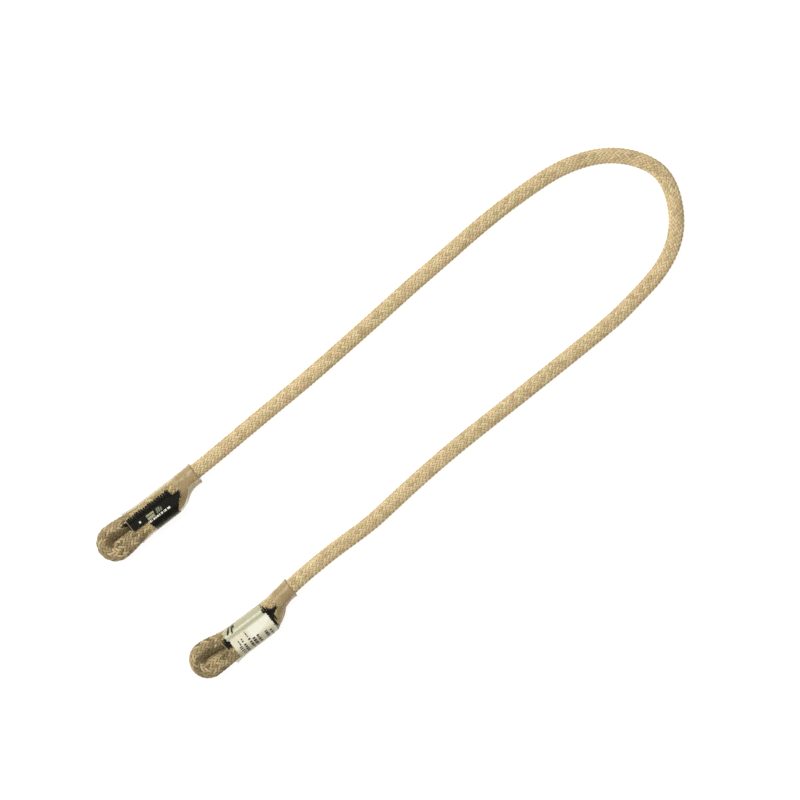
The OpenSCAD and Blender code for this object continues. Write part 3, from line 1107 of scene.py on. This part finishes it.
def edit() -> None:
    """Opens edit mode on the active object with nothing selected."""
    bpy.ops.object.mode_set(mode="EDIT")
    bpy.ops.mesh.select_all(action="DESELECT")


def pick(kind: str, test: Callable[[Any], bool]) -> None:
    """Selects, in edit mode, the vertices or faces of the active object that pass a test.

    Args:
        kind: "VERT" or "FACE".
        test: Says whether one of them is wanted.
    """
    mesh = bpy.context.object.data
    bpy.ops.mesh.select_mode(type=kind)
    bpy.ops.mesh.select_all(action="DESELECT")
    bpy.ops.object.mode_set(mode="OBJECT")
    for part in mesh.vertices if kind == "VERT" else mesh.polygons:
        part.select = bool(test(part))
    bpy.ops.object.mode_set(mode="EDIT")


def shift_picked(y: float) -> None:
    """Moves what is selected in edit mode sideways, in mm."""
    bpy.ops.transform.translate(value=(0.0, y * MM, 0.0))


def slice_across(axis: int, places: Array) -> None:
    """Cuts the active mesh right through, in edit mode, at places along an axis, in mm."""
    normal = [float(k == axis) for k in range(3)]
    for place in places:
        bpy.ops.mesh.select_all(action="SELECT")
        spot = [place * MM * n for n in normal]
        bpy.ops.mesh.bisect(plane_co=spot, plane_no=normal)


def apply_modifier(kind: str, **settings: Any) -> None:
    """Adds a modifier to the active object, sets its properties and applies it."""
    made = bpy.context.object.modifiers.new(kind.lower(), kind)
    for name, value in settings.items():
        setattr(made, name, value)
    bpy.ops.object.modifier_apply(modifier=made.name)


def oval_tube(
    name: str, middle: float, length: float, half: Pair, corners: int, filled: bool = False
) -> Object:
    """A straight tube along x, all selected in edit mode.

    Args:
        name: The piece's name.
        middle: The x of its middle.
        length: Its length.
        half: Its half width and half height.
        corners: Corners round it.
        filled: Whether its ends are closed.

    Returns:
        The tube.
    """
    deselect()
    bpy.ops.mesh.primitive_cylinder_add(
        vertices=corners,
        radius=1.0 * MM,
        depth=length * MM,
        end_fill_type="NGON" if filled else "NOTHING",
        location=(middle * MM, 0.0, 0.0),
        rotation=(0.0, math.pi / 2, 0.0),
    )
    piece = bpy.context.object
    piece.name = piece.data.name = name
    bpy.ops.object.transform_apply(location=True, rotation=True, scale=True)
    edit()
    bpy.ops.mesh.select_all(action="SELECT")
    bpy.ops.transform.resize(value=(1.0, *half), center_override=(0.0, 0.0, 0.0))
    return piece


@dataclass
class EndPiece:
    """A piece that is shaped in one sewn end's frame and rides on that end, in mm."""

    end: SewnEnd
    finishes: Finishes

    def named(self, stem: str) -> str:
        """A piece's, node's or body's name with the end's letter."""
        return stem.format(self.end.side.value)

    def pair_tube(self, name: str, start: float, stop: float, gap: Pair, corners: int) -> None:
        """Makes a thin tube shaped round the stitched pair, active and in edit mode.

        A round tube is drawn out sideways: its two halves are pulled apart to lie over
        the two legs.

        Args:
            name: The piece's name.
            start: Its first x.
            stop: Its last x.
            gap: Room between it and the rope, at the sides and on top.
            corners: Corners round the tube.
        """
        half = (self.end.sewn_half[0] + gap[0], self.end.sewn_half[1] + gap[1])
        oval_tube(name, (start + stop) / 2, stop - start, half, corners)
        for side in (1, -1):
            pick("VERT", lambda v: v.co.y * side > NEAR * MM)
            shift_picked(side * self.end.pair / 2)

    def thicken(self, wall: float, crease_deg: float) -> None:
        """Gives the active shell a wall and smooths it up to a crease angle."""
        apply_modifier("SOLIDIFY", thickness=wall * MM, offset=1.0, use_even_offset=True)
        bpy.ops.object.shade_smooth_by_angle(angle=math.radians(crease_deg))

    def seat(self) -> None:
        """Moves the active piece from its end's frame to the row frame."""
        piece = bpy.context.object
        deselect()
        piece.matrix_world = self.end.matrix() @ piece.matrix_world
        piece.select_set(True)
        bpy.context.view_layer.objects.active = piece
        bpy.ops.object.transform_apply(location=True, rotation=True, scale=True)

    def hang(self, piece: Object, node: str, slot: str) -> None:
        """Hangs a finished piece on its sewn end.

        Args:
            piece: The piece.
            node: The CAD node that it stands for, with {} for the end's letter.
            slot: A material slot's name; not used.
        """
        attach(piece, self.named("end_{}"))
        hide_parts(self.named(node))
        report(piece)


@dataclass
class ShrinkSleeve(EndPiece):
    """The clear sleeve shrunk over one stitched pair, in mm."""

    gap: Pair = (0.4, 0.68)
    wall: float = 0.26
    rings: int = 34
    corners: int = 36
    eye_flare: Pair = (0.85, 9.0)  # how far it opens sideways, and over what length
    mouth_flare: Pair = (0.35, 6.0)
    seed: int = 3
    unevenness: float = 0.12
    taper: tuple[tuple[float, ...], ...] = (
        (22.0, 24.5, 30.0, 33.0, 36.0, 40.0), (0.0, 0.04, 0.32, 0.71, 0.92, 1.0),
    )

    def build(self) -> None:
        """Builds the sleeve and hangs it on its sewn end."""
        end = self.end
        self.pair_tube(self.named("shrink_sleeve_{}"), 0.0, end.sleeve_len, self.gap, self.corners)
        piece = bpy.context.object
        slice_across(0, np.linspace(0.0, end.sleeve_len, self.rings + 2)[1:-1])
        bpy.ops.object.mode_set(mode="OBJECT")
        places = sorted({round(v.co.x / MM, 3) for v in piece.data.vertices})
        edit()
        self.close_tail(places)
        self.flare_edges(places)
        bpy.ops.mesh.select_all(action="SELECT")
        bpy.ops.transform.vertex_random(
            offset=self.unevenness * MM, uniform=1.0, normal=0.0, seed=self.seed
        )
        bpy.ops.object.mode_set(mode="OBJECT")
        apply_modifier("SUBSURF", levels=1, render_levels=1)
        self.thicken(self.wall, 40)
        self.seat()
        piece.data.materials.append(ShrinkFilmFinish(end).material())
        self.hang(piece, "sleeve_{}", "film")

    @staticmethod
    def shift_part(x: float, moved: float, test: Callable[[float], bool]) -> None:
        """Moves a part of one ring sideways.

        Args:
            x: The ring's place.
            moved: How far the part moves.
            test: Says whether a vertex at this y belongs to the part.
        """
        if abs(moved) > LEAST:
            pick("VERT", lambda v: abs(v.co.x / MM - x) < NEAR and test(v.co.y / MM))
            shift_picked(moved)

    def close_tail(self, places: list[float]) -> None:
        """Draws each ring's two sides to the legs that it covers."""
        end = self.end
        for x in places:
            leaned = end.standing_y(x) - end.pair / 2
            share = np.interp(x, *self.taper)
            drawn = float(share * (end.standing_y(x) - end.film_room + end.pair / 2))
            self.shift_part(x, leaned, lambda y: y > NEAR)
            self.shift_part(x, drawn, lambda y: y < -NEAR)
            self.shift_part(x, (leaned + drawn) / 2, lambda y: abs(y) < NEAR)

    def flare_edges(self, places: list[float]) -> None:
        """Opens both ends sideways a little, more at the eye."""
        end = self.end
        clear = end.sewn_half[0] / 2
        for x in places:
            opened = sum(
                wide * max(0.0, 1 - inside / long) ** 2
                for (wide, long), inside in (
                    (self.eye_flare, x), (self.mouth_flare, end.sleeve_len - x),
                )
            )
            middle = end.standing_y(x) if x > end.sleeve_len / 2 else 0.0
            self.shift_part(x, opened, lambda y: y - middle > clear)
            self.shift_part(x, -opened, lambda y: middle - y > clear)


@dataclass
class TailCut(EndPiece):
    """The slanted, melted face of one tail, in mm."""

    depth: float = 1.1
    proud: float = 0.12
    rough_length: float = 24.0
    corners: int = 40
    rim: tuple[Pair, ...] = ((0.35, 0.12), (0.3, -0.16), (0.8, 0.05), (0.9, 0.12))

    def build(self) -> None:
        """Builds the fused end cap and hangs it on its sewn end."""
        end = self.end
        x, y, z = end.cut_at
        half = (end.tip_half[0] + self.proud, end.tip_half[1] + self.proud)
        name = self.named("tail_cut_{}")
        piece = oval_tube(name, x, self.rough_length, half, self.corners, filled=True)
        bpy.ops.transform.translate(value=(0.0, y * MM, z * MM))
        facing = Vector(end.cut_facing).normalized()
        place = Vector(end.cut_at) * MM
        for offset, outer in ((0.0, True), (-self.depth, False)):
            bpy.ops.mesh.select_all(action="SELECT")
            bpy.ops.mesh.bisect(
                plane_co=place + facing * offset * MM,
                plane_no=facing,
                use_fill=True,
                clear_outer=outer,
                clear_inner=not outer,
            )
        # A rim sinks into the cut face, and its middle swells.
        pick("FACE", lambda face: face.normal.dot(facing) > 0.95)
        for inset, rise in self.rim:
            bpy.ops.mesh.inset(thickness=inset * MM, depth=0.0)
            bpy.ops.transform.translate(value=facing * rise * MM)
        bpy.ops.object.mode_set(mode="OBJECT")
        apply_modifier("SUBSURF", levels=1, render_levels=1)
        bpy.ops.object.shade_smooth_by_angle(angle=math.radians(50))
        self.seat()
        piece.data.materials.append(self.finishes.melted)
        self.hang(piece, "eye_{}_core", "sheath")


@dataclass
class BarTack(EndPiece):
    """The black zigzag that joins one pair, top and bottom, in mm."""

    edges: tuple[Triple, ...]  # x, low y and high y
    pitch: float = 0.66
    width: float = 0.6
    thickness: float = 0.36
    sag: float = 0.5
    unevenness: float = 0.22
    step: float = 0.45  # at most, between the points along a stitch
    clear: float = 0.05
    corners: int = 8
    sunk: Pair = (0.9, 0.55)  # how deep the thread dives at a turn, and over what length

    def top(self, x: Array, y: Array) -> Array:
        """Height of the stitched pair's top under the thread."""
        half, tall = self.end.sewn_half
        middle = self.end.pair / 2
        tail_mid = self.end.tail_y(x)
        centre = np.where(y > 0, middle, tail_mid)
        lobe = tall * np.sqrt(np.clip(1 - ((y - centre) / half) ** 2, 0.0, 1.0))
        bridge = tall - self.sag * (1 - (y / middle) ** 2)
        inside = (y < middle) & (y > tail_mid)
        return np.where(inside, np.maximum(lobe, bridge), lobe)

    def turns(self) -> Array:
        """The zigzag's turning points as x and y."""
        at, low, high = np.array(self.edges).T
        count = int((at[-1] - at[0]) / self.pitch) + 1
        x = np.linspace(at[0], at[-1], count)
        jitter = self.unevenness * (hashed(np.arange(count), 7) - 0.5)
        even = np.arange(count) % 2 == 0
        y = np.where(even, np.interp(x, at, high), np.interp(x, at, low))
        return np.column_stack([x + jitter, y + 2 * jitter])

    def strand(self, face: int, turns: Array) -> Array:
        """The thread's middle on one face of the pair, as one long run of points."""
        deep, over = self.sunk
        run = []
        for a, b in zip(turns[:-1], turns[1:]):
            long = np.linalg.norm(b - a)
            n = max(6, int(long / self.step))
            t = np.arange(n) / n
            x, y = a[0] + (b[0] - a[0]) * t, a[1] + (b[1] - a[1]) * t
            dive = deep * (1 - smooth(np.minimum(t, 1 - t) * long / over))
            z = self.top(x, y) + self.thickness / 2 + self.clear - dive
            run.append(np.column_stack([x, y, face * z]))
        return np.concatenate(run)

    def tube(self, middle: Array, face: int) -> Tube:
        """A flattened tube along the thread's middle."""
        along = unit(np.gradient(middle, axis=0))
        across = unit(np.cross(along, np.array([0.0, 0.0, float(face)])))
        half = (self.width / 2, self.thickness / 2)
        rings = oval_rings(middle, across, np.cross(across, along), half, self.corners)
        return strips(rings[None], np.full((1, len(middle)), 0.5), np.zeros(1))

    def build(self) -> None:
        """Builds the thread and hangs it on its sewn end."""
        turns = self.turns()
        other = turns + np.array([self.pitch / 2, 0.0])
        other[:, 1] = np.roll(turns[:, 1], 1)
        tubes = []
        for face in (1, -1):
            for number, run in enumerate((turns, other[1:-1])):
                middle = self.strand(face, run)
                middle[:, 2] += face * number * self.thickness / 3
                tubes.append(self.tube(self.end.to_row(middle), face))
        shares = (1 / len(tubes),) * len(tubes)
        piece = joined_mesh(self.named("bar_tack_{}"), tubes, shares)
        piece.data.materials.append(self.finishes.thread)
        self.hang(piece, "bartack_{}", "thread")


@dataclass(frozen=True)
class Bar:
    """One plain printed bar on a label: its box in the end's frame, in mm."""

    x0: float
    x1: float
    y0: float
    y1: float
    lean: float = 0.0  # how far it leans along x for each mm of y

    def holds(self, x: float, y: float) -> bool:
        """Whether a place is on the bar."""
        upright = x - self.lean * (y - self.y0)
        return self.x0 <= upright <= self.x1 and self.y0 <= y <= self.y1


def dashed(bars: tuple[Bar, ...]) -> tuple[Bar, ...]:
    """Breaks tall bars into short dashes of uneven length."""
    shortest, spread, gap, inset_most = 0.45, 0.9, 0.3, 0.12
    made = []
    for number, bar in enumerate(bars):
        y, step = bar.y0, 0
        while y < bar.y1:
            end = y + shortest + spread * float(hashed(number, step))
            inset = inset_most * float(hashed(step, number, 3))
            made.append(Bar(bar.x0 + inset, bar.x1 - inset, y, min(end, bar.y1)))
            y, step = end + gap, step + 1
    return tuple(made)


@dataclass
class WrapLabel(EndPiece):
    """A printed film wrapped round the pair under the sleeve, in mm."""

    base: Material
    start: float
    stop: float
    keeps: Callable[[float, float, bool], bool]
    marks: tuple[tuple[Material, tuple[Bar, ...]], ...]
    slot: str
    gap: Pair = (0.25, 0.54)
    corners: int = 96
    cell: float = 0.32
    cells_across: int = 21  # of the flat between the legs
    wall: float = 0.1

    def build(self) -> None:
        """Builds the label and hangs it on its sewn end."""
        name = self.named("print_label_{}")
        self.pair_tube(name, self.start, self.stop, self.gap, self.corners)
        piece = bpy.context.object
        count = int((self.stop - self.start) / self.cell)
        slice_across(0, np.linspace(self.start, self.stop, count + 1)[1:-1])
        middle = self.end.pair / 2
        slice_across(1, np.linspace(-middle, middle, self.cells_across + 1)[1:-1])
        self.pick_cells(lambda x, y, top: not self.keeps(x, y, top))
        bpy.ops.mesh.delete(type="FACE")
        piece.data.materials.append(self.base)
        for slot, (ink, bars) in enumerate(self.marks, start=1):
            piece.data.materials.append(ink)
            self.pick_cells(lambda x, y, top: top and any(bar.holds(x, y) for bar in bars))
            piece.active_material_index = slot
            bpy.ops.object.material_slot_assign()
        bpy.ops.object.mode_set(mode="OBJECT")
        self.thicken(self.wall, 50)
        self.seat()
        self.hang(piece, "label_{}", self.slot)

    @staticmethod
    def pick_cells(test: Callable[[float, float, bool], bool]) -> None:
        """Selects the cells whose x, y and being on the top pass a test."""
        pick("FACE", lambda f: test(f.center.x / MM, f.center.y / MM, f.center.z > 0))


# --------------------------------------------------------------------- studio


@dataclass
class Studio:
    """Camera, floor and lights, in mm where not said otherwise."""

    aim: Pair = (-5.35, 0.18)
    field_mm: float = 400.0
    lens: float = 90.0
    sensor: float = 36.0
    turn_deg: float = -40.15
    height_mm: float = 4.0
    floor_m: float = 40.0
    room_strength: float = 0.45
    key_watts: float = 28.0
    key_m: float = 0.9
    key_place_m: Triple = (-0.49, 0.98, 1.55)

    def build(self) -> None:
        """Builds the camera, the floor and the lights."""
        self.camera()
        self.floor()
        self.lights()

    def camera(self) -> None:
        """Looks straight down, turned so that the hairpin lies along the diagonal."""
        data = bpy.data.cameras.new("overhead")
        data.lens, data.sensor_width = self.lens, self.sensor
        data.dof.use_dof = False
        data.clip_start, data.clip_end = 0.01, 100.0
        made = bpy.data.objects.new("overhead", data)
        height = self.height_mm + self.field_mm * self.lens / self.sensor
        made.location = (self.aim[0] * MM, self.aim[1] * MM, height * MM)
        made.rotation_euler = (0.0, 0.0, math.radians(self.turn_deg))
        bpy.context.scene.collection.objects.link(made)
        bpy.context.scene.camera = made

    def floor(self) -> None:
        """A wide, plain white table."""
        deselect()
        bpy.ops.mesh.primitive_plane_add(size=self.floor_m, location=(0.0, 0.0, 0.0))
        made = bpy.context.object
        made.name = "studio_floor"
        made.data.materials.append(FloorFinish().material())

    def lights(self) -> None:
        """A bright even room and one large soft key from the hairpin's outer side."""
        world = bpy.data.worlds.new("room")
        world.use_nodes = True
        room = world.node_tree.nodes["Background"]
        room.inputs["Color"].default_value = linear("#ffffff")
        room.inputs["Strength"].default_value = self.room_strength
        bpy.context.scene.world = world
        data = bpy.data.lights.new("key", "AREA")
        data.shape, data.size, data.energy = "DISK", self.key_m, self.key_watts
        made = bpy.data.objects.new("key", data)
        made.location = self.key_place_m
        made.rotation_euler = (-made.location).to_track_quat("-Z", "Y").to_euler()
        bpy.context.scene.collection.objects.link(made)
        bpy.context.scene.view_settings.view_transform = "Standard"
        bpy.context.scene.view_settings.look = "None"


# ----------------------------------------------------------------------- main

STITCHES_A = (
    (-3.6, 3.9, 4.6), (-1.4, 2.0, 3.6), (-0.8, -0.6, 4.4), (0.4, -1.6, 5.2),
    (24.6, -1.8, 5.2), (25.4, -2.6, 1.3), (27.0, -3.0, 1.2), (30.5, 0.6, 1.2),
)
STITCHES_B = (
    (0.5, -0.4, 4.7), (3.4, -1.3, 5.0), (24.8, -3.5, 5.2), (26.0, -7.2, 6.6),
    (26.7, -7.2, 6.2), (27.4, -6.0, 4.8), (28.2, -2.0, 3.4), (28.9, -0.3, 2.9),
    (30.2, 1.2, 2.7), (32.6, 2.3, 2.7),
)


def keeps_black(x: float, y: float, top: bool) -> bool:
    """Outline of the black label: a strip over the seam and a flap round the tail's side."""
    if not top:
        return 9.5 < x < 24.5 and y < -0.8
    if y > 1.9 or x > (24.6 if y > 1.2 else 24.1 + 0.867 * (y + 7.0)):
        return False
    return x > (0.4 if y > -1.9 else 9.0 - 0.29 * (y + 3.2))


def keeps_white(x: float, y: float, top: bool) -> bool:
    """Outline of the white label, with a step in each cut end."""
    ragged = 0.1 * math.sin(5.3 * y) + 0.08 * math.sin(11.0 * y + 1.0)
    left = 2.65 if y > 2.5 or not top else 3.6
    right = 26.6 if y < 2.8 else 25.9 if y > 5.2 else 25.3
    return left + ragged < x < right - ragged


ROW_A = tuple(
    Bar(x, x + width, -3.2, -2.3)
    for x, width in (
        (8.4, 0.7), (9.5, 0.9), (10.8, 0.5), (11.7, 1.1), (13.2, 0.6), (14.2, 0.9),
        (15.5, 0.6), (16.5, 1.2), (18.1, 0.5), (19.0, 1.0), (20.4, 0.6), (21.3, 0.8),
    )
)
SPOT_A = (Bar(5.1, 6.1, -0.5, 0.6),)
BLOCKS_A = (Bar(9.5, 14.1, -0.3, 1.0), Bar(9.5, 13.6, -1.8, -0.6))
TICKS_A = (
    Bar(14.9, 15.8, -1.7, 0.9, 0.3), Bar(16.2, 17.0, -1.5, 0.7, 0.3),
    Bar(17.3, 18.1, -1.7, 0.2, 0.3),
)
COLUMNS_B = (
    Bar(5.8, 7.4, -8.3, -3.4), Bar(6.6, 7.5, -2.8, 0.3), Bar(8.1, 9.6, -8.3, -3.0),
    Bar(8.4, 9.3, -2.4, -0.2), Bar(11.6, 12.9, -8.3, -2.2), Bar(11.9, 12.6, -1.6, 1.4),
    Bar(13.5, 15.1, -8.3, -3.2), Bar(16.0, 17.3, -8.3, -2.8), Bar(20.2, 21.9, -8.3, -4.3),
    Bar(22.8, 24.1, -8.3, -4.4),
)
SLANTS_B = (
    Bar(3.9, 5.1, 4.9, 7.9, 0.8), Bar(6.6, 7.6, 4.5, 8.4, 0.45), Bar(7.6, 9.6, 6.5, 7.4),
    Bar(8.6, 9.8, 7.2, 8.5),
)


def main() -> None:
    """Builds the studio and the cord, piece by piece."""
    logging.basicConfig(level=logging.INFO, format="%(name)s: %(message)s")
    Studio().build()
    paint = Finishes()
    end_a = SewnEnd(
        Side.A, mouth=(-106.9, 38.9), yaw_deg=-3.0, sleeve_len=41.8, mouth_lean=0.2,
        eye_lean=-0.4, film_room=1.5,
    )
    end_b = SewnEnd(
        Side.B, mouth=(-107.3, -36.0), yaw_deg=-3.2, sleeve_len=43.7, mouth_lean=2.0,
        eye_lean=1.3, film_room=0.4, tail_shift=1.9, cut_at=(31.8, -2.6, 0.3), milky_from=32.6,
    )
    Rope(paint, end_a, end_b).build()
    for end, edges in ((end_a, STITCHES_A), (end_b, STITCHES_B)):
        TailCut(end, paint).build()
        BarTack(end, paint, edges).build()
    light_marks = (
        (paint.pale_ink, ROW_A + SPOT_A), (paint.grey_ink, BLOCKS_A), (paint.faint_ink, TICKS_A),
    )
    dark_marks = ((paint.dark_ink, dashed(COLUMNS_B)), (paint.black, SLANTS_B))
    white = WhiteLabelFinish(end_b).material()
    for label in (
        WrapLabel(end_a, paint, paint.black, 0.2, 30.5, keeps_black, light_marks, "label_black"),
        WrapLabel(end_b, paint, white, 1.2, 27.4, keeps_white, dark_marks, "label_white"),
    ):
        label.build()
    for end in (end_a, end_b):
        ShrinkSleeve(end, paint).build()


if __name__ == "__main__":
    main()
